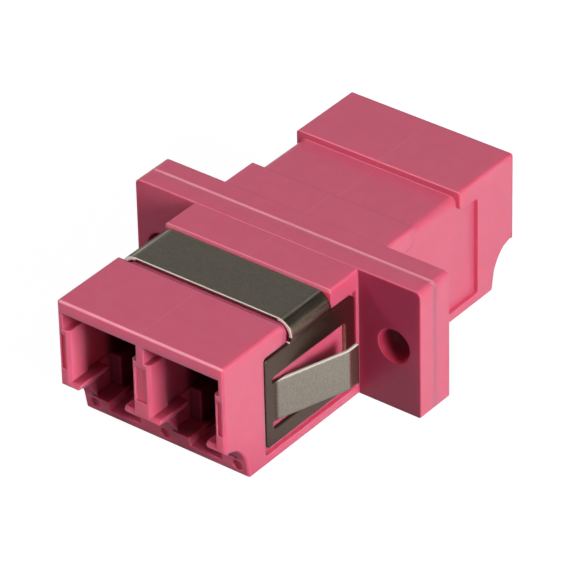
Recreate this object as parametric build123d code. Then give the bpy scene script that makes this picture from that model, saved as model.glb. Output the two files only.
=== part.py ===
# Duplex fibre-optic adapter that joins two plugs to two plugs through a panel.
# Millimetres, +Z up. The origin is the middle of the box round the whole adapter.
# The front ports face -Y, the rear ports face +Y, and the plugs' latches are underneath.
# Two equal moulded halves meet at the flange's middle plane, y = 0, and are welded there.
import os
from math import isclose, radians, tan

from build123d import *

os.makedirs("parts", exist_ok=True)

# Whole body
body_width = 12.7
body_height = 9.2
half_length = 14.7
flange_step = 0.05
top = body_height / 2
bottom = -body_height / 2
body_top = top - flange_step
body_top_radius = 0.2
body_bottom_radius = 0.2
end_edge_chamfer = 0.12

# How far a cutting shape runs past the face it cuts through
overrun = 1.0
# Two lengths nearer than this are the same
tiny = 0.001

# Flange, one half of its thickness in each moulding
flange_width = 22.0
flange_half = 1.5
flange_top_radius = 0.42
flange_bottom_radius = 0.2
flange_edge_chamfer = 0.06
weld_groove = 0.12
flange_hole_radius = 1.1
flange_hole_edge = 2.0
flange_hole_offset = flange_width / 2 - flange_hole_edge
hole_rim = 0.12

# Panel clip, one folded sheet
sheet = 0.25
strap_start = 4.5
strap_end = 8.3
strap_drop = 0.08
plate_start = 1.85
plate_end = 10.7
plate_low = -3.5
plate_high = 2.88
plate_corner = 0.3
bend_bulge = 0.24
bend_radius = 1.05
bend_low = 3.55
joggle_high = 3.38
joggle_low = 2.88
joggle_radius = 0.35
window_start = 2.8
window_end = 10.0
window_low = -2.47
window_high = 1.36
leaf_low = -1.88
leaf_high = 0.92
leaf_slope = 17.8
leaf_run = 5.2
leaf_tip_length = 0.9
leaf_bend_radius = 0.5

# Seats for the clip, cut in both halves
saddle_start = 4.25
saddle_end = 8.95
saddle_depth = 0.48
saddle_corner = 0.5
side_seat_start = 1.73
side_seat_end = 10.87
side_seat_low = -3.9
side_seat_high = 3.2
side_seat_depth = 0.3
side_seat_corner = 0.25
seat_shoulder_radius = 0.4

# Ports, side by side on the optical axes
port_pitch = 6.25
axis_height = 1.2
plug_opening = 4.8
opening_low = -1.21
opening_high = 3.68
mouth_depth = 1.6
mouth_flare = 0.2
rail_top = 2.49
web_width = 0.56
outer_skin = 0.38
foot_gap = 3.5
foot_taper_high = -1.37
foot_taper_low = -1.9
foot_taper = 0.3
ledge_depth = 2.7
ledge_low = -1.7
lug_pocket_end = 3.9
lug_channel = 5.0
guide_width = 5.2
latch_channel = 3.5
latch_floor = -3.35
slot_width = 2.5
slot_floor = -4.02
slot_end = 8.2
partition_face = 4.9
latch_channel_end = 5.6

# Shallow pockets in the mouth's rails, and ejector marks below the ports
rail_pocket_width = 0.36
rail_pocket_offset = 5.99
web_pocket_width = 0.82
rail_pocket_low = -0.36
rail_pocket_high = 2.1
rail_pocket_depth = 0.15
mark_radius = 0.4
mark_depth = 0.12
mark_offset = 5.5
mark_height = -3.88

# Finger cut below each mouth: depth from the end, height above the bottom
cut_lip_high = 3.17
cut_lip_round = (0.06, 3.0)
cut_lip_low = (0.25, 2.93)
cut_shelf = (1.0, 2.69)
cut_bend = (1.62, 2.1)
cut_wall = (2.0, 1.37)
cut_foot = 2.26
cut_edge_chamfer = 0.1

# Alignment sleeves and the two holders clamped round them
sleeve_inner_radius = 0.625
sleeve_outer_radius = 0.8
sleeve_length = 6.8
sleeve_slit = 0.25
sleeve_clearance = 0.03
sleeve_end_play = 0.05
holder_width = 10.6
holder_height = 3.7
holder_plate = 1.4
holder_corner = 0.5
tube_radius = 1.35
nozzle_radius = 1.1
nozzle_end = 6.2
nozzle_bore = 0.7
nozzle_flare = 0.2
pocket_clearance = 0.05
shoulder_face = 4.0


def box_between(x_low, x_high, y_low, y_high, z_low, z_high):
    centre = Pos((x_low + x_high) / 2, (y_low + y_high) / 2, (z_low + z_high) / 2)
    return centre * Box(x_high - x_low, y_high - y_low, z_high - z_low)


def port_box(x_low, x_high, start, end, z_low, z_high):
    # The two distances run from the middle plane towards the front mouth.
    return box_between(x_low, x_high, -end, -start, z_low, z_high)


def rounded_outline(width, z_low, z_high, top_radius, bottom_radius):
    outline = Pos(0, (z_low + z_high) / 2) * Rectangle(width, z_high - z_low)
    outline = fillet(outline.vertices().group_by(Axis.Y)[-1], top_radius)
    return fillet(outline.vertices().group_by(Axis.Y)[0], bottom_radius)


def along_port(outline, start, end):
    return Plane.XZ.offset(start) * extrude(outline, end - start)


def round_along_port(radius, x, z, start, end):
    return along_port(Pos(x, z) * Circle(radius), start, end)


def cone_along_port(start_radius, end_radius, x, z, start, end):
    turned = Plane.XZ.offset((start + end) / 2) * Pos(x, z)
    return turned * Cone(start_radius, end_radius, end - start)


def both_sides(shape):
    return shape + mirror(shape, about=Plane.YZ)


def flange_body():
    outline = rounded_outline(flange_width, bottom, top, flange_top_radius, flange_bottom_radius)
    flange = along_port(outline, 0, flange_half)
    flange = chamfer(flange.faces().sort_by(Axis.Y)[0].edges(), flange_edge_chamfer)
    flange -= Pos(0, 0, top) * Rot(45, 0, 0) * Box(flange_width, weld_groove, weld_groove)
    for x in (-flange_hole_offset, flange_hole_offset):
        flange -= round_along_port(flange_hole_radius, x, 0, -overrun, flange_half + overrun)
        flange -= cone_along_port(
            flange_hole_radius, flange_hole_radius + hole_rim, x, 0,
            flange_half - hole_rim, flange_half,
        )
    return flange


def clip_seats():
    # Saddle over the top with rounded corners, and a shallow seat on each side.
    half_width = body_width / 2
    floor = half_width - side_seat_depth
    saddle = port_box(-half_width, half_width, saddle_start, saddle_end, side_seat_high, top)
    kept = rounded_outline(2 * floor, 0, body_top - saddle_depth, saddle_corner, saddle_corner)
    saddle -= along_port(kept, saddle_start, saddle_end)
    seat_middle = -(side_seat_start + side_seat_end) / 2
    seat = Pos(seat_middle, (side_seat_low + side_seat_high) / 2) * RectangleRounded(
        side_seat_end - side_seat_start, side_seat_high - side_seat_low, side_seat_corner
    )
    step = Pos(-(saddle_start + saddle_end) / 2, top / 2) * Rectangle(
        saddle_end - saddle_start, top
    )
    outline = seat + step
    inner_corners = [
        v for v in outline.vertices()
        if isclose(v.Y, side_seat_high, abs_tol=tiny)
        and any(isclose(-v.X, place, abs_tol=tiny) for place in (saddle_start, saddle_end))
    ]
    outline = fillet(inner_corners, seat_shoulder_radius)
    side = Plane.YZ.offset(floor) * extrude(outline, side_seat_depth + overrun)
    return saddle + both_sides(side)


def finger_cut():
    end = -half_length

    def corner(point):
        return (end + point[0], bottom + point[1])

    outline = make_face(
        Polyline(corner((cut_foot, 0)), corner(cut_wall))
        + ThreePointArc(corner(cut_wall), corner(cut_bend), corner(cut_shelf))
        + Line(corner(cut_shelf), corner(cut_lip_low))
        + ThreePointArc(corner(cut_lip_low), corner(cut_lip_round), corner((0, cut_lip_high)))
        + Polyline(
            corner((0, cut_lip_high)), corner((-overrun, cut_lip_high)),
            corner((-overrun, -overrun)), corner((cut_foot, -overrun)), corner((cut_foot, 0)),
        )
    )
    return Plane.YZ * extrude(outline, body_width, both=True)


def finger_cut_edges(body):
    # The edges where the finger cut leaves the body's two sides.
    def on_cut(edge):
        centre = edge.center()
        on_side = isclose(abs(centre.X), body_width / 2, abs_tol=tiny)
        return on_side and centre.Y < cut_foot - half_length and centre.Z < bottom + cut_lip_low[1]

    return [edge for edge in body.edges() if on_cut(edge)]


def foot_outline():
    # The gap between the two feet, wider at its bottom where their corners are rounded off.
    half_gap = foot_gap / 2
    wide = half_gap + foot_taper
    right = [
        (half_gap, opening_low), (half_gap, foot_taper_high), (wide, foot_taper_low),
        (wide, latch_floor),
    ]
    left = [(-x, z) for x, z in reversed(right)]
    return make_face(Polyline(*right, *left, close=True))


def port_space(side):
    # Side is -1 for the left port and +1 for the right one.
    centre = side * port_pitch / 2
    mouth = half_length - mouth_depth
    ledge_end = half_length - ledge_depth
    lug_end = half_length - lug_pocket_end
    past = half_length + overrun

    def centred(width, start, end, z_low, z_high):
        return port_box(centre - width / 2, centre + width / 2, start, end, z_low, z_high)

    def from_web(web, skin, start, end, z_low, z_high):
        inner_edge = side * web / 2
        outer_edge = side * (body_width / 2 - skin)
        low, high = sorted((inner_edge, outer_edge))
        return port_box(low, high, start, end, z_low, z_high)

    space = centred(plug_opening, mouth, past, opening_low, opening_high)
    flare_start = half_length - mouth_flare
    flare = Plane.XZ.offset(flare_start) * Pos(centre, (opening_low + rail_top) / 2)
    flare_face = flare * Rectangle(plug_opening, rail_top - opening_low)
    space += extrude(flare_face, mouth_flare, taper=-45)
    space += from_web(web_width, outer_skin, mouth, past, rail_top, opening_high)
    space += Pos(centre, 0, 0) * along_port(foot_outline(), ledge_end, past)
    space += centred(guide_width, partition_face, mouth, opening_low, opening_high)
    space += centred(lug_channel, lug_end, half_length - cut_wall[0], latch_floor, ledge_low)
    space += centred(lug_channel, lug_end, ledge_end, latch_floor, opening_low)
    space += centred(latch_channel, latch_channel_end, lug_end, latch_floor, opening_low)
    space += centred(slot_width, slot_end, past, slot_floor, latch_floor)
    pocket_start = half_length - rail_pocket_depth
    pocket_middle = side * rail_pocket_offset
    space += port_box(
        pocket_middle - rail_pocket_width / 2, pocket_middle + rail_pocket_width / 2,
        pocket_start, past, rail_pocket_low, rail_pocket_high,
    )
    return space


def holder_pocket():
    clear = pocket_clearance
    outline = Pos(0, axis_height) * RectangleRounded(
        holder_width + 2 * clear, holder_height + 2 * clear, holder_corner
    )
    pocket = along_port(outline, 0, holder_plate + clear)
    for x in (-port_pitch / 2, port_pitch / 2):
        pocket += round_along_port(tube_radius + clear, x, axis_height, 0, shoulder_face)
        pocket += round_along_port(nozzle_radius + clear, x, axis_height, 0, partition_face + overrun)
    return pocket


def housing_half():
    outline = rounded_outline(body_width, bottom, body_top, body_top_radius, body_bottom_radius)
    half = along_port(outline, flange_half / 2, half_length)
    half = chamfer(half.faces().sort_by(Axis.Y)[0].edges(), end_edge_chamfer)
    half -= finger_cut()
    half = chamfer(finger_cut_edges(half), cut_edge_chamfer)
    half += flange_body()
    half -= clip_seats()
    half -= port_space(-1)
    half -= port_space(1)
    half -= port_box(
        -web_pocket_width / 2, web_pocket_width / 2,
        half_length - rail_pocket_depth, half_length + overrun, rail_pocket_low, rail_pocket_high,
    )
    half -= holder_pocket()
    marks_start = half_length - cut_foot - mark_depth
    for x in (-mark_offset, 0, mark_offset):
        half -= round_along_port(mark_radius, x, mark_height, marks_start, half_length)
    return half


def sleeve_holder():
    outline = Pos(0, axis_height) * RectangleRounded(holder_width, holder_height, holder_corner)
    holder = along_port(outline, 0, holder_plate)
    seat_end = sleeve_length / 2 + sleeve_end_play
    for x in (-port_pitch / 2, port_pitch / 2):
        holder += round_along_port(tube_radius, x, axis_height, 0, shoulder_face)
        holder += round_along_port(nozzle_radius, x, axis_height, shoulder_face, nozzle_end)
    for x in (-port_pitch / 2, port_pitch / 2):
        seat_radius = sleeve_outer_radius + sleeve_clearance
        holder -= round_along_port(seat_radius, x, axis_height, 0, seat_end)
        holder -= round_along_port(nozzle_bore, x, axis_height, 0, nozzle_end)
        holder -= cone_along_port(
            nozzle_bore, nozzle_bore + nozzle_flare, x, axis_height,
            nozzle_end - nozzle_flare, nozzle_end,
        )
    return holder


def alignment_sleeve(x):
    half = sleeve_length / 2
    sleeve = round_along_port(sleeve_outer_radius, x, axis_height, -half, half)
    sleeve -= round_along_port(sleeve_inner_radius, x, axis_height, -half, half)
    slit_low = axis_height
    slit_high = axis_height + 2 * sleeve_outer_radius
    slit = port_box(x - sleeve_slit / 2, x + sleeve_slit / 2, -half, half, slit_low, slit_high)
    return sleeve - slit


def panel_clip():
    # A strap over the body, a plate with a window on each side, and a leaf bent out of each.
    inner = body_width / 2 - side_seat_depth
    outer = inner + sheet
    widest = outer + bend_bulge
    inner_radius = bend_radius - sheet
    strap_top = body_top - strap_drop
    hoop = rounded_outline(2 * widest, 0, strap_top, bend_radius, bend_radius)
    hoop -= rounded_outline(
        2 * (widest - sheet), sheet, strap_top - sheet, inner_radius, inner_radius
    )
    strap = along_port(hoop, strap_start, strap_end)
    strap -= port_box(-body_width, body_width, strap_start, strap_end, 0, bend_low)
    strap += both_sides(joggle(outer))
    plate = Pos(-(plate_start + plate_end) / 2, (plate_low + plate_high) / 2) * RectangleRounded(
        plate_end - plate_start, plate_high - plate_low, plate_corner
    )
    window = Pos(-(window_start + window_end) / 2, (window_low + window_high) / 2)
    plate -= window * RectangleRounded(
        window_end - window_start, window_high - window_low, plate_corner
    )
    side = Plane.YZ.offset(inner) * extrude(plate, sheet)
    return strap + both_sides(side) + both_sides(leaf(outer))


def joggle(outer):
    # The strap's bend stands proud of the plate, and the sheet steps in to meet it.
    plate_middle = outer - sheet / 2
    bend_middle = plate_middle + bend_bulge
    path = FilletPolyline(
        (bend_middle, bend_low), (bend_middle, joggle_high), (plate_middle, joggle_low),
        (plate_middle, joggle_low - 2 * sheet), radius=joggle_radius,
    )
    return along_port(trace(path, sheet), strap_start, strap_end)


def leaf(outer):
    # The middle of the sheet's thickness, drawn from above, is given the sheet's width.
    middle = outer - sheet / 2
    rise = leaf_run * tan(radians(leaf_slope))
    knee = sheet - window_end
    path = FilletPolyline(
        (middle, knee - 2 * sheet), (middle, knee), (middle + rise, knee + leaf_run),
        (middle + rise, knee + leaf_run + leaf_tip_length), radius=leaf_bend_radius,
    )
    return Pos(0, 0, leaf_low) * extrude(trace(path, sheet), leaf_high - leaf_low)


def turned_round(shape):
    return Rot(0, 0, 180) * shape


half = housing_half()
holder = sleeve_holder()
parts = {
    "front_housing": half,
    "rear_housing": turned_round(half),
    "sleeve_holder_front": holder,
    "sleeve_holder_rear": turned_round(holder),
    "alignment_sleeve_left": alignment_sleeve(-port_pitch / 2),
    "alignment_sleeve_right": alignment_sleeve(port_pitch / 2),
    "panel_clip": panel_clip(),
}
for name, shape in parts.items():
    export_step(shape, f"parts/{name}.step")
    print(name, "solids", len(shape.solids()), "volume", round(shape.volume, 3))
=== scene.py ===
import math
import bpy
from mathutils import Matrix, Vector


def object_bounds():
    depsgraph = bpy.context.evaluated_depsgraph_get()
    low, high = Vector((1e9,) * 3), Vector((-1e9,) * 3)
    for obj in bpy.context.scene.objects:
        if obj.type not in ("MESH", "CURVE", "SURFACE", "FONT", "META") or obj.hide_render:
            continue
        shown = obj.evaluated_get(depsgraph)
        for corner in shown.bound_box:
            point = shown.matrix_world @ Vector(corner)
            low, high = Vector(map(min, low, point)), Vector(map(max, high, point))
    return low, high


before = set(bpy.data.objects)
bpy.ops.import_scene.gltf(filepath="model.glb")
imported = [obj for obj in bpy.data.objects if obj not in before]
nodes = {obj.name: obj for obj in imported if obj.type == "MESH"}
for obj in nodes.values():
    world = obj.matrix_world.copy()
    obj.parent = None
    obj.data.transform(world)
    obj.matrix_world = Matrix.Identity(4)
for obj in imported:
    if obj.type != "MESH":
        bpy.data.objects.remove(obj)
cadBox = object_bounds()
mm = 0.001
print("adapter frame loaded:", sorted(nodes))

# the camera comes first, because everything is seen through it; its angles are in degrees
cameraSet = {
    "azimuth": 38.407, "elevation": 33.879, "roll": -1.361, "distance": 300.46 * mm,
    "offsetX": 0.390 * mm, "offsetY": 0.0847 * mm,
    "lens": 307.49, "sensor": 36.0, "clip": (0.01, 20.0),
}


def addCamera(s):
    azimuth, elevation, roll = (math.radians(s[k]) for k in ("azimuth", "elevation", "roll"))
    back = Vector((
        math.sin(azimuth) * math.cos(elevation),
        -math.cos(azimuth) * math.cos(elevation),
        math.sin(elevation),
    ))
    level = Vector((math.cos(azimuth), math.sin(azimuth), 0.0))
    upright = back.cross(level)
    right = level * math.cos(roll) + upright * math.sin(roll)
    up = upright * math.cos(roll) - level * math.sin(roll)
    place = back * s["distance"] - right * s["offsetX"] + up * s["offsetY"]
    data = bpy.data.cameras.new("adapterCamera")
    data.lens = s["lens"]
    data.sensor_width = s["sensor"]
    data.clip_start, data.clip_end = s["clip"]
    camera = bpy.data.objects.new("adapterCamera", data)
    turn = Matrix((right, up, back)).transposed().to_4x4()
    camera.matrix_world = Matrix.Translation(place) @ turn
    bpy.context.scene.collection.objects.link(camera)
    bpy.context.scene.camera = camera


addCamera(cameraSet)
print("camera placed")


def linearColour(red, green, blue):
    def channel(value):
        value = value / 255.0
        return value / 12.92 if value <= 0.04045 else ((value + 0.055) / 1.055) ** 2.4
    return (channel(red), channel(green), channel(blue), 1.0)


# the mix node's first and second input and its output, for each kind of value
mixSockets = {"FLOAT": (2, 3, 0), "VECTOR": (4, 5, 1), "RGBA": (6, 7, 2)}


class Graph:
    # short ways to add nodes; what a socket is fed is a constant or another node's output
    def __init__(self, tree):
        self.tree = tree

    def feed(self, socket, value):
        if isinstance(value, bpy.types.NodeSocket):
            self.tree.links.new(value, socket)
        else:
            socket.default_value = value

    def node(self, kind, label=None, **settings):
        node = self.tree.nodes.new(kind)
        if label:
            node.label = label
        for name, value in settings.items():
            if hasattr(node, name):
                setattr(node, name, value)
            else:
                self.feed(node.inputs[name], value)
        return node

    def inTurn(self, node, *values):
        for socket, value in zip(node.inputs, values):
            self.feed(socket, value)
        return node.outputs[0]

    def dress(self, shader, **values):
        for name, value in values.items():
            self.feed(shader.inputs[name], value)

    def calculate(self, operation, *values):
        # past the second value, each goes with the result so far
        node = self.node("ShaderNodeMath", operation=operation)
        result = self.inTurn(node, *values[:2])
        return self.calculate(operation, result, *values[2:]) if values[2:] else result

    def times(self, *values):
        return self.calculate("MULTIPLY", *values)

    def most(self, *values):
        return self.calculate("MAXIMUM", *values)

    def span(self, source, toRange, label, fromRange=(0.0, 1.0), kind="LINEAR"):
        node = self.node("ShaderNodeMapRange", label, interpolation_type=kind)
        names = ("Value", "From Min", "From Max", "To Min", "To Max")
        for name, value in zip(names, (source, *fromRange, *toRange)):
            self.feed(node.inputs[name], value)
        return node.outputs["Result"]

    def ramp(self, source, fromRange, label):
        return self.span(source, (0.0, 1.0), label, fromRange, "SMOOTHSTEP")

    def mixed(self, first, second, amount, label, kind="RGBA"):
        node = self.node("ShaderNodeMix", label, data_type=kind)
        low, high, out = mixSockets[kind]
        for index, value in ((0, amount), (low, first), (high, second)):
            self.feed(node.inputs[index], value)
        return node.outputs[out]

    def layered(self, colour, colours, amounts):
        for name, amount in amounts.items():
            colour = self.mixed(colour, linearColour(*colours[name]), amount, name)
        return colour

    def noise(self, label, vector, scale, detail=2.0):
        texture = self.node(
            "ShaderNodeTexNoise", label, Vector=vector, Scale=scale, Detail=detail
        )
        return texture.outputs["Fac"]

    def scaled(self, vector, factor, label):
        node = self.node("ShaderNodeVectorMath", label, operation="SCALE", Scale=factor)
        return self.inTurn(node, vector)

    def axes(self, vector, label):
        return tuple(self.node("ShaderNodeSeparateXYZ", label, Vector=vector).outputs)

    def bump(self, label, height, depth, normal):
        node = self.node("ShaderNodeBump", label, Height=height, Distance=depth, Normal=normal)
        return node.outputs["Normal"]

    def softEdges(self, s):
        node = self.node(
            "ShaderNodeBevel", "soft edges", samples=s["edgeSamples"], Radius=s["edgeRadius"]
        )
        return node.outputs["Normal"]


def newMaterial(name):
    material = bpy.data.materials.new(name)
    material.use_nodes = True
    tree = material.node_tree
    shader = next(n for n in tree.nodes if n.type == "BSDF_PRINCIPLED")
    return material, Graph(tree), shader


# moulded pink plastic, a little translucent, with a fine spark-eroded skin and a knit line down
# the middle whose paler colour is a painted highlight on its ridge; painted highlights, light and
# shade are layered over it; a pair of places or slopes says where a mask is 0 and where it is 1
plasticSet = {
    "deep": (210, 89, 118), "light": (217, 97, 126), "mottle": 900.0, "mottleDetail": 3.0,
    "roughness": (0.30, 0.40), "gloss": (0.5, 0.0), "refraction": 1.5,
    "grain": 16000.0, "grainDetail": 2.0, "grainDepth": 0.0018 * mm,
    "edgeRadius": 0.11 * mm, "edgeSamples": 8,
    "glow": (1.0, 0.0), "glowReach": 0.8 * mm, "glowColour": (1.0, 0.28, 0.38),
    "outerWall": (6.2 * mm, 6.1 * mm), "litSide": (0.0, 0.5 * mm),
    "facesFront": (0.5, 0.95), "facesAside": (0.5, 0.9), "facesUp": (0.6, 0.9),
    "facesDown": (0.1, 0.45), "facesInward": (-0.2, -0.6),
    "facesBack": (0.05, 0.3), "tiltsBack": (0.005, 0.03),
    # the knit line's paler colour is a painted highlight on its ridge
    "knit": (232, 118, 142), "knitWidth": 0.04 * mm, "knitDepth": 0.006 * mm,
    "knitStrength": 0.5,
    # painted highlight on top edges facing the front, and painted light on the saddle's rear wall
    "edgeHighlight": (255, 152, 172), "slant": (0.12, 0.44), "aboveFeet": (2.0 * mm, 2.2 * mm),
    "edgeStrength": 0.8, "edgeOnFlange": 0.0,
    "saddleAt": 4.25 * mm, "saddleWall": (0.08 * mm, 0.04 * mm),
    "nearRoof": (4.2 * mm, 4.3 * mm), "saddleStrength": 0.85,
    # painted highlight along the weld
    "weldHighlight": (255, 146, 160), "weldLine": (0.20 * mm, 0.06 * mm), "weldStrength": 0.95,
    "weldOnSides": 0.0, "seam": (0.17 * mm, 0.14 * mm), "outerSide": (10.7 * mm, 10.8 * mm),
    # painted shade on edges turned to the back, in front of the strap
    "rimShade": (88, 28, 44), "beforeStrap": (-8.6 * mm, -8.7 * mm), "rimStrength": 0.95,
    "behindFlange": (1.4 * mm, 1.6 * mm),
    # painted shade in the flange's screw hole
    "hole": (164, 42, 70), "holeAt": 9.0 * mm, "inHole": (1.20 * mm, 1.14 * mm),
    "holeStrength": 0.9,
    # painted shade on the flange's front
    "flange": (166, 56, 88), "onFlange": (1.6 * mm, 1.5 * mm),
    "leftToRight": (-6.4 * mm, 6.5 * mm), "flangeStrength": 0.95, "flangeDull": 0.55,
    # painted light on the thin walls and end faces near a mouth
    "mouth": (252, 120, 150), "nearMouth": (11.6 * mm, 14.2 * mm), "mouthStrength": 0.95,
    "wallSpan": (-2.0 * mm, 0.5 * mm), "wallShade": (1.0, 0.15),
    # painted shade deep inside the ports and on their upward ledges
    "inside": (100, 20, 38), "betweenSides": (5.85 * mm, 5.75 * mm),
    "betweenFloors": (3.8 * mm, 3.7 * mm), "deepInside": (11.4 * mm, 10.4 * mm),
    "ledgeStrength": 0.35,
}

# the hidden sleeve holders are deeper in colour and have no knit line
holderSet = dict(
    plasticSet, deep=(160, 50, 72), light=(170, 58, 80), knitDepth=0.0, knitStrength=0.0
)


def pinkPlastic(name, s):
    material, graph, shader = newMaterial(name)
    calculate, times, most, ramp = graph.calculate, graph.times, graph.most, graph.ramp
    place = graph.node("ShaderNodeTexCoord").outputs["Object"]
    x, y, z = graph.axes(place, "place")
    aside, along = calculate("ABSOLUTE", x), calculate("ABSOLUTE", y)
    sideOfMiddle = calculate("SIGN", x)
    mottle = graph.noise("mottle", place, s["mottle"], s["mottleDetail"])
    grain = graph.noise("grain", place, s["grain"], s["grainDetail"])
    # the knit line, a slight ridge whose paler colour is a painted highlight
    knit = graph.span(aside, (1.0, 0.0), "knit line", (0.0, s["knitWidth"]), "SMOOTHSTEP")

    rounded = graph.softEdges(s)
    turnX, turnY, turnZ = graph.axes(rounded, "rounded facing")
    front = most(times(turnY, -1.0), 0.0)
    up = most(turnZ, 0.0)
    backTilt = times(turnY, up)
    endFace = ramp(front, s["facesFront"], "faces the front")
    backEdge = ramp(backTilt, s["facesBack"], "edges turned to the back")
    onFlange = ramp(along, s["onFlange"], "on the flange")
    high = ramp(z, s["aboveFeet"], "above the feet")
    within = times(
        ramp(aside, s["betweenSides"], "between the side walls"),
        ramp(calculate("ABSOLUTE", z), s["betweenFloors"], "between the roof and the floor"),
    )
    # painted shade deep inside the ports
    inside = times(within, ramp(along, s["deepInside"], "deep inside"))

    # painted highlights on the edges between a top and an end face, and painted light on the
    # saddle's rear wall
    slant = ramp(times(front, up), s["slant"], "top edges")
    edgeStrength = graph.mixed(
        s["edgeStrength"], s["edgeOnFlange"], onFlange, "edge strength", "FLOAT"
    )
    fromSaddle = calculate("ABSOLUTE", calculate("SUBTRACT", along, s["saddleAt"]))
    saddleWall = times(
        ramp(fromSaddle, s["saddleWall"], "behind the strap"), front,
        ramp(z, s["nearRoof"], "near the roof"), s["saddleStrength"],
    )
    edgeHighlight = most(times(slant, high, edgeStrength), saddleWall)

    # a painted highlight along the weld where the halves meet, on top
    weldStrength = graph.span(up, (s["weldOnSides"], s["weldStrength"]), "weld strength")
    weldHighlight = times(ramp(along, s["weldLine"], "weldHighlight"), weldStrength)

    # painted shade on the flange's front, more to the right, and painted light on the thin walls
    # near a mouth, the left ones most
    flange = times(
        onFlange, endFace, ramp(x, s["leftToRight"], "more to the right"), s["flangeStrength"]
    )
    sideWall = ramp(calculate("ABSOLUTE", turnX), s["facesAside"], "side wall")
    leftMost = graph.span(x, s["wallShade"], "left walls more than right", s["wallSpan"])
    thin = most(times(within, sideWall, leftMost), endFace)
    mouth = times(thin, ramp(along, s["nearMouth"], "near the mouth"), s["mouthStrength"])
    # painted shade on the ledges that face up inside the ports
    ledge = times(within, ramp(up, s["facesUp"], "faces up"), s["ledgeStrength"])
    # painted shade on edges turned to the back, in front of the strap
    rimShade = times(backEdge, ramp(y, s["beforeStrap"], "before the strap"), s["rimStrength"])
    # painted shade in the flange's screw hole
    fromHole = calculate("SUBTRACT", aside, s["holeAt"])
    reach = calculate("SQRT", calculate("ADD", times(fromHole, fromHole), times(z, z)))
    hole = times(ramp(reach, s["inHole"], "in the hole"), s["holeStrength"])

    colour = graph.mixed(linearColour(*s["deep"]), linearColour(*s["light"]), mottle, "colour")
    finished = graph.layered(colour, s, {
        "knit": times(knit, s["knitStrength"]), "flange": flange, "mouth": mouth,
        "inside": most(inside, ledge), "edgeHighlight": times(edgeHighlight, calculate("SUBTRACT", 1.0, inside)),
        "weldHighlight": weldHighlight, "rimShade": rimShade, "hole": hole,
    })

    # shaded faces don't shine
    lowSlant = times(slant, calculate("SUBTRACT", 1.0, high))
    facesDown = ramp(times(turnZ, -1.0), s["facesDown"], "faces down")
    dull = most(backEdge, facesDown, lowSlant, hole, times(flange, s["flangeDull"]))

    # the seam is closed on the flange's sides, and the hidden edges behind it stay crisp
    closed = times(
        ramp(along, s["seam"], "by the seam"), ramp(aside, s["outerSide"], "outer side")
    )
    outward = graph.node("ShaderNodeCombineXYZ", "straight out to the side", X=sideOfMiddle)
    seam = graph.mixed(rounded, outward.outputs["Vector"], closed, "closed seam", "VECTOR")
    hidden = times(
        ramp(backTilt, s["tiltsBack"], "any tilt to the back"),
        ramp(y, s["behindFlange"], "behind the flange"),
    )
    surface = graph.node("ShaderNodeNewGeometry", "flat surface").outputs["Normal"]
    crisp = graph.mixed(seam, surface, hidden, "crisp hidden edges", "VECTOR")
    skin = graph.bump("skin", grain, s["grainDepth"], crisp)

    # no light comes through the outer wall into the ports on the lit side
    unlit = times(
        ramp(aside, s["outerWall"], "inner side of the outer wall"),
        ramp(times(turnX, sideOfMiddle), s["facesInward"], "faces inward"),
        ramp(x, s["litSide"], "lit side"),
    )
    graph.dress(shader, **{
        "Base Color": finished,
        "Roughness": graph.span(grain, s["roughness"], "roughness"),
        "Specular IOR Level": graph.span(dull, s["gloss"], "gloss"),
        "IOR": s["refraction"],
        "Normal": graph.bump("knit line height", knit, s["knitDepth"], skin),
        "Subsurface Weight": graph.span(unlit, s["glow"], "glow"),
        "Subsurface Radius": s["glowColour"],
        "Subsurface Scale": s["glowReach"],
    })
    return material


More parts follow.
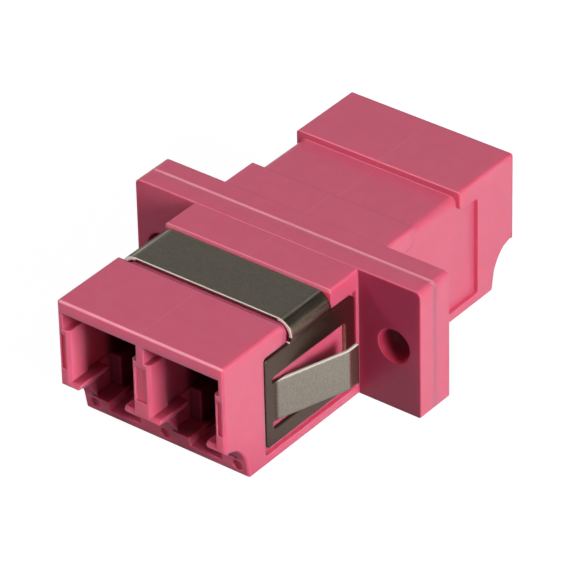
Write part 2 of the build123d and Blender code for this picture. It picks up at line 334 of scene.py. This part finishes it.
# rolled spring steel with a dull olive tone and a faint rolling grain, a painted sheen on the
# leaves and bright cut edges, bare metal with a painted highlight; "bend" gives painted highlight,
# shade and reflection round the fold, from side to top
steelSet = {
    "dark": (108, 101, 90), "pale": (126, 119, 106), "grain": 5200.0, "grainDetail": 4.0,
    "rolled": (0.35, 1.0, 1.0), "grainDepth": 0.0012 * mm,
    "speck": 11000.0, "speckContrast": (0.35, 0.65), "speckRange": (0.84, 1.14),
    "roughness": (0.26, 0.40), "metal": (0.9, 0.05), "edgeRadius": 0.2 * mm, "edgeSamples": 8,
    # painted highlight, shade and pink reflection in bands, by how the fold faces
    "bend": (
        (0.0, (84, 62, 56)), (0.3, (104, 84, 74)), (0.55, (92, 82, 70)), (0.72, (74, 68, 58)),
        (0.93, (72, 66, 56)), (0.975, (160, 153, 137)), (1.0, (117, 110, 98)),
    ),
    "beyondFlat": (5.0 * mm, 5.1 * mm), "turnedDown": (0.995, 0.97),
    "drawn": (1.0, 0.12, 1.0), "streak": 5200.0, "streakContrast": (0.3, 0.7),
    "streakRange": (0.72, 1.28),
    # painted darker reflection on the side plate beside the body
    "plate": (78, 64, 54), "besideBody": (6.0 * mm, 6.1 * mm), "belowBend": (3.5 * mm, 3.0 * mm),
    # painted pink reflection of the flange on the plate near it
    "rear": (124, 62, 64), "towardFlange": (-4.6 * mm, -2.4 * mm),
    # painted sheen on the leaves, away from the body
    "leafSheen": (134, 128, 118), "offBody": (6.31 * mm, 6.40 * mm),
    "belowStrap": (2.1 * mm, 2.0 * mm),
    # painted pink reflection of the flange on the leaf's folded tip
    "tip": (122, 72, 68), "atTip": (7.5 * mm, 7.6 * mm), "pastFold": (-0.24, -0.12),
    "tipStrength": 0.8,
    # painted highlight on the sheet's front-facing edge at the window's rear
    "windowEdge": (176, 138, 120), "windowRear": (-3.1 * mm, -3.0 * mm),
    "windowHeight": (1.7 * mm, 1.6 * mm), "facesFront": (-0.85, -0.95),
    # bright cut edges: bare metal with a painted highlight, and a painted glint at the joggle's
    # corner
    "bareCutAndGlint": (255, 250, 236), "cutRoughness": 0.42, "acrossSheet": (0.85, 0.95),
    "onStrap": (3.3 * mm, 3.4 * mm), "flatStrap": (5.5 * mm, 5.4 * mm),
    "lowHalf": (4.40 * mm, 4.35 * mm), "belowFolds": (3.3 * mm, 3.2 * mm),
    "abovePlate": (2.78 * mm, 2.84 * mm), "belowJoggle": (3.04 * mm, 2.98 * mm),
}


# painted highlight, shade and reflection in bands, by which way the fold faces
def bendColours(graph, facing, s):
    bands = graph.node("ShaderNodeValToRGB", "bands round the bend", Fac=facing)
    stops = bands.color_ramp.elements
    for position, _ in s["bend"][1:-1]:
        stops.new(position)
    for stop, (position, shade) in zip(stops, s["bend"]):
        stop.position = position
        stop.color = linearColour(*shade)
    return bands.outputs["Color"]


def rolledSteel(name, s):
    material, graph, shader = newMaterial(name)
    calculate, times, most, ramp = graph.calculate, graph.times, graph.most, graph.ramp
    coordinates = graph.node("ShaderNodeTexCoord").outputs
    place = coordinates["Object"]
    x, y, z = graph.axes(place, "place")
    _, faceY, faceZ = graph.axes(coordinates["Normal"], "facing")
    aside = calculate("ABSOLUTE", x)

    def drawnOut(label, scale):
        node = graph.node("ShaderNodeMapping", label, Vector=place, Scale=scale)
        return node.outputs["Vector"]

    rolled = drawnOut("rolling direction", s["rolled"])
    grain = graph.noise("rolling grain", rolled, s["grain"], s["grainDetail"])
    speck = graph.noise("fine specks", place, s["speck"])
    streak = graph.noise("streaks of the bend", drawnOut("along the fold", s["drawn"]), s["streak"])
    colour = graph.mixed(linearColour(*s["dark"]), linearColour(*s["pale"]), grain, "colour")

    streaks = graph.span(streak, s["streakRange"], "streaks", s["streakContrast"])
    bend = graph.scaled(bendColours(graph, faceZ, s), streaks, "streaked")
    # the painted bands round the fold
    around = times(
        ramp(aside, s["beyondFlat"], "beyond the flat strap"),
        ramp(faceZ, s["turnedDown"], "turned down"),
    )
    folded = graph.mixed(colour, bend, around, "bend")

    # painted darker reflection on the side plate, below the bend
    beside = ramp(aside, s["besideBody"], "beside the body")
    under = ramp(z, s["belowBend"], "below the bend")
    # painted sheen on the leaves
    leafSheen = times(
        ramp(aside, s["offBody"], "away from the body"), ramp(z, s["belowStrap"], "below the strap")
    )
    # painted pink reflection of the flange on the leaf's folded tip
    tip = times(
        ramp(aside, s["atTip"], "at the tip"), ramp(faceY, s["pastFold"], "past the fold"),
        s["tipStrength"],
    )
    # painted highlight on the sheet's front-facing edge at the window's rear
    windowEdge = times(
        ramp(y, s["windowRear"], "rear edge of the window"),
        ramp(z, s["windowHeight"], "within the window"),
        ramp(faceY, s["facesFront"], "faces the front"),
    )
    # painted reflections, sheen and highlight layered over the steel
    tinted = graph.layered(folded, s, {
        "plate": times(beside, under),
        "rear": times(beside, ramp(y, s["towardFlange"], "toward the flange"), under),
        "leafSheen": leafSheen, "tip": tip, "windowEdge": windowEdge,
    })
    specks = graph.span(speck, s["speckRange"], "specks", s["speckContrast"])
    speckled = graph.scaled(tinted, specks, "speckled")

    # bright cut edges, partly bare metal and partly a painted highlight: the upper half of the
    # strap's and those of the leaf; the joggle's corner has a painted glint
    endways = ramp(calculate("ABSOLUTE", faceY), s["acrossSheet"], "faces along the body")
    upright = ramp(calculate("ABSOLUTE", faceZ), s["acrossSheet"], "faces up or down")
    lowPart = times(
        ramp(aside, s["flatStrap"], "on the flat strap"),
        ramp(z, s["lowHalf"], "lower half of its edge"),
    )
    onStrap = times(
        ramp(z, s["onStrap"], "on the strap"), calculate("SUBTRACT", 1.0, lowPart)
    )
    corner = times(
        ramp(z, s["abovePlate"], "above the plate"), ramp(z, s["belowJoggle"], "below the joggle")
    )
    bareCutAndGlint = most(
        times(endways, most(onStrap, corner, leafSheen)),
        times(upright, ramp(z, s["belowFolds"], "below the folds"), leafSheen),
    )
    rough = graph.span(speck, s["roughness"], "roughness")
    graph.dress(shader, **{
        "Base Color": graph.layered(speckled, s, {"bareCutAndGlint": bareCutAndGlint}),
        "Roughness": graph.mixed(rough, s["cutRoughness"], bareCutAndGlint, "sheen", "FLOAT"),
        "Normal": graph.bump("grain height", grain, s["grainDepth"], graph.softEdges(s)),
        "Metallic": graph.span(bareCutAndGlint, s["metal"], "metal"),
    })
    return material


# ground white ceramic
ceramicSet = {
    "white": (238, 234, 224), "shade": (226, 221, 208), "cloud": 2500.0, "roughness": 0.18,
}


def groundCeramic(name, s):
    material, graph, shader = newMaterial(name)
    place = graph.node("ShaderNodeTexCoord").outputs["Object"]
    cloud = graph.noise("cloud", place, s["cloud"])
    colour = graph.mixed(linearColour(*s["white"]), linearColour(*s["shade"]), cloud, "colour")
    graph.dress(shader, **{"Base Color": colour, "Roughness": s["roughness"]})
    return material


housingPlastic = pinkPlastic("housingPlastic", plasticSet)
holderPlastic = pinkPlastic("holderPlastic", holderSet)
clipSteel = rolledSteel("clipSteel", steelSet)
sleeveCeramic = groundCeramic("sleeveCeramic", ceramicSet)
finishes = {
    "front_housing": housingPlastic, "rear_housing": housingPlastic,
    "sleeve_holder_front": holderPlastic, "sleeve_holder_rear": holderPlastic,
    "alignment_sleeve_left": sleeveCeramic, "alignment_sleeve_right": sleeveCeramic,
    "panel_clip": clipSteel,
}
for name, material in finishes.items():
    nodes[name].data.materials.clear()
    nodes[name].data.materials.append(material)
print("materials on", len(finishes), "pieces")

# pale floor that the camera sees as white and shiny surfaces as pale, with a painted pool of light
# toward one side that only reflections show, and with the object's shadow kept; a pair under
# "mirrored" is its two ends
floorSet = {
    "size": 3.0, "gap": 0.02 * mm, "bounce": 0.28, "seen": 0.16, "lift": 0.93,
    "mirrored": (0.30, 0.80), "mirroredLift": (0.05, 0.55),
    "paleToward": (0.62, 0.78, 0.0), "paleSpan": (-6.0 * mm, 0.0),
}


def backgroundRays(graph):
    path = graph.node("ShaderNodeLightPath").outputs
    return graph.most(
        path["Is Camera Ray"], path["Is Glossy Ray"], path["Is Transmission Ray"]
    )


def addFloor(s):
    level = cadBox[0][2] - s["gap"]
    bpy.ops.mesh.primitive_plane_add(size=s["size"], location=(0, 0, level))
    floor = bpy.context.object
    floor.name = "floor"
    material, graph, shader = newMaterial("floorPaper")
    output = next(n for n in graph.tree.nodes if n.type == "OUTPUT_MATERIAL")
    graph.tree.nodes.remove(shader)
    glossyRay = graph.node("ShaderNodeLightPath").outputs["Is Glossy Ray"]
    position = graph.node("ShaderNodeNewGeometry").outputs["Position"]
    # painted pool of light: reflections see the floor paler toward the back right
    across = graph.node("ShaderNodeVectorMath", "toward the back right", operation="DOT_PRODUCT")
    graph.inTurn(across, position, s["paleToward"])

    def byRay(seen, mirrored):
        reflected = graph.span(
            across.outputs["Value"], mirrored, "seen in a reflection", s["paleSpan"], "SMOOTHSTEP"
        )
        return graph.mixed(seen, reflected, glossyRay, "by the kind of ray", "FLOAT")

    grey = s["bounce"]
    bounce = graph.node("ShaderNodeBsdfDiffuse", Color=(grey, grey, grey, 1.0))
    seen = graph.node("ShaderNodeBsdfDiffuse")
    graph.feed(seen.inputs["Color"], byRay(s["seen"], s["mirrored"]))
    lift = graph.node("ShaderNodeEmission")
    graph.feed(lift.inputs["Strength"], byRay(s["lift"], s["mirroredLift"]))
    both = graph.inTurn(graph.node("ShaderNodeAddShader"), seen.outputs[0], lift.outputs[0])
    paper = graph.inTurn(
        graph.node("ShaderNodeMixShader"), backgroundRays(graph), bounce.outputs[0], both
    )
    graph.feed(output.inputs["Surface"], paper)
    floor.data.materials.append(material)


# a white background, with a darker ceiling that only shiny surfaces see
worldSet = {"fill": 0.16, "background": 1.0, "ceiling": 0.33, "ceilingSpan": (0.28, 0.48)}


def addWorld(s):
    world = bpy.data.worlds.new("studio")
    world.use_nodes = True
    bpy.context.scene.world = world
    graph = Graph(world.node_tree)
    background = next(n for n in graph.tree.nodes if n.type == "BACKGROUND")
    place = graph.node("ShaderNodeTexCoord").outputs["Generated"]
    height = graph.span(
        graph.axes(place, "direction")[2], (s["background"], s["ceiling"]),
        "height above the horizon", s["ceilingSpan"], "SMOOTHSTEP",
    )
    glossyRay = graph.node("ShaderNodeLightPath").outputs["Is Glossy Ray"]
    shiny = graph.mixed(
        s["background"], height, glossyRay, "ceiling for shiny surfaces", "FLOAT"
    )
    strength = graph.mixed(s["fill"], shiny, backgroundRays(graph), "strength", "FLOAT")
    graph.dress(background, Color=(1, 1, 1, 1), Strength=strength)


# direction from the object, distance, size and power of each soft lamp
lamps = {
    "keyRight": {"toward": (0.90, -0.20, 0.36), "distance": 0.40, "size": 0.16, "power": 1.74},
    "edgeLeft": {"toward": (-0.52, -0.50, 0.70), "distance": 0.40, "size": 0.09, "power": 0.44},
    "above": {"toward": (-0.15, -0.10, 0.95), "distance": 0.40, "size": 0.30, "power": 0.10},
}


def addLamp(name, s):
    data = bpy.data.lights.new(name, "AREA")
    data.shape = "DISK"
    data.size = s["size"]
    data.energy = s["power"]
    lamp = bpy.data.objects.new(name, data)
    place = Vector(s["toward"]).normalized() * s["distance"]
    lamp.location = place
    lamp.rotation_euler = (-place).to_track_quat("-Z", "Y").to_euler()
    bpy.context.scene.collection.objects.link(lamp)


addFloor(floorSet)
addWorld(worldSet)
for name, settings in lamps.items():
    addLamp(name, settings)
bpy.context.scene.view_settings.view_transform = "Standard"
print("floor, world and lamps set")
